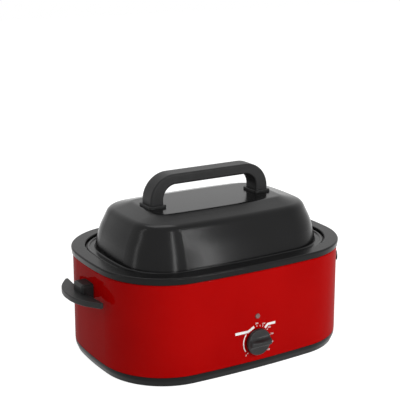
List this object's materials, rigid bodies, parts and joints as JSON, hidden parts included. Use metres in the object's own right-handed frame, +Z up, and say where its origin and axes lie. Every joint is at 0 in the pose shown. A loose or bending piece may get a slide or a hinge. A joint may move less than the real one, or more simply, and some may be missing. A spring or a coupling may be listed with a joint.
{
  "type": "electric roaster oven",
  "caption": "Oblong countertop roaster: red base with a heated well, lift-out pan with a wire rack, and a domed lift-off lid with a bail handle.",
  "frame": {"origin": "under the middle of the closed oven, knob included, on the surface it stands on; the middle of the base lies 8.6 mm behind it", "axes": "+X along the long side to the right as seen from the front, +Y to the rear, +Z up; the knob faces -Y"},
  "size_m": [0.612, 0.3954, 0.3607],
  "materials": {
    "red_enamel": "gloss red enamel on steel",
    "black_satin": "satin heat resistant moulding",
    "zinc_steel": "zinc plated sheet",
    "foot_rubber": "moulded rubber",
    "screw_steel": "plated steel",
    "well_enamel": "speckled black enamel",
    "heater_strip": "mica and steel band",
    "brass_tabs": "plain brass",
    "glass_wool": "glass fibre blanket",
    "dark_moulding": "heat resistant moulding",
    "knob_plastic": "semi-gloss phenolic",
    "lamp_lens": "dull red translucent plastic",
    "white_ceramic": "glazed ceramic",
    "lead_sleeve": "silicone sleeve",
    "handle_plastic": "satin phenolic",
    "pan_enamel": "semi-gloss black enamel",
    "rack_chrome": "chromed wire",
    "lid_enamel": "gloss black enamel"
  },
  "bodies": {
    "base": {"outer_shell": "red_enamel", "base_skirt": "black_satin", "bottom_plate": "zinc_steel", "feet": "foot_rubber", "foot_screws": "screw_steel", "foot_nuts": "screw_steel", "rim_collar": "black_satin", "cooking_well": "well_enamel", "heater_band_lower": "heater_strip", "heater_band_upper": "heater_strip", "heater_terminals": "brass_tabs", "insulation_left": "glass_wool", "insulation_right": "glass_wool", "well_stud": "screw_steel", "stud_spacer": "zinc_steel", "stud_nut": "screw_steel", "thermal_cutoff": "zinc_steel", "cutoff_clip": "zinc_steel", "thermostat_bracket": "zinc_steel", "thermostat_body": "dark_moulding", "bush_nut": "screw_steel", "thermostat_terminals": "brass_tabs", "indicator_lens": "lamp_lens", "lamp_holder": "dark_moulding", "cord_inlet": "dark_moulding", "terminal_block": "white_ceramic", "terminal_screws": "brass_tabs", "supply_lead_live": "lead_sleeve", "supply_lead_neutral": "lead_sleeve", "earth_lead": "lead_sleeve", "earth_screw": "brass_tabs", "side_handle_left": "handle_plastic", "side_handle_right": "handle_plastic", "side_handle_screws": "screw_steel"},
    "pan": {"roasting_pan": "pan_enamel"},
    "rack": {"rack_grid": "rack_chrome", "rack_handles": "rack_chrome"},
    "lid": {"lid_shell": "lid_enamel", "lid_handle": "handle_plastic", "handle_seats": "handle_plastic", "handle_washers": "screw_steel", "handle_screws": "screw_steel"},
    "knob": {"control_knob": "knob_plastic", "control_shaft": "screw_steel"}
  },
  "joints": [
    {"name": "pan_lift", "type": "slide", "parent": "base", "child": "pan", "axis": [0, 0, 1], "range_m": [0, 0.2065]},
    {"name": "lid_lift", "type": "slide", "parent": "pan", "child": "lid", "axis": [0, 0, 1], "range_m": [0, 0.1129]},
    {"name": "rack_lift", "type": "slide", "parent": "pan", "child": "rack", "axis": [0, 0, 1], "range_m": [0, 0.02]},
    {"name": "knob_turn", "type": "hinge", "parent": "base", "child": "knob", "pos_m": [0, -0.1771, 0.0605], "axis": [0, 1, 0], "range_deg": [-45, 225]}
  ]
}
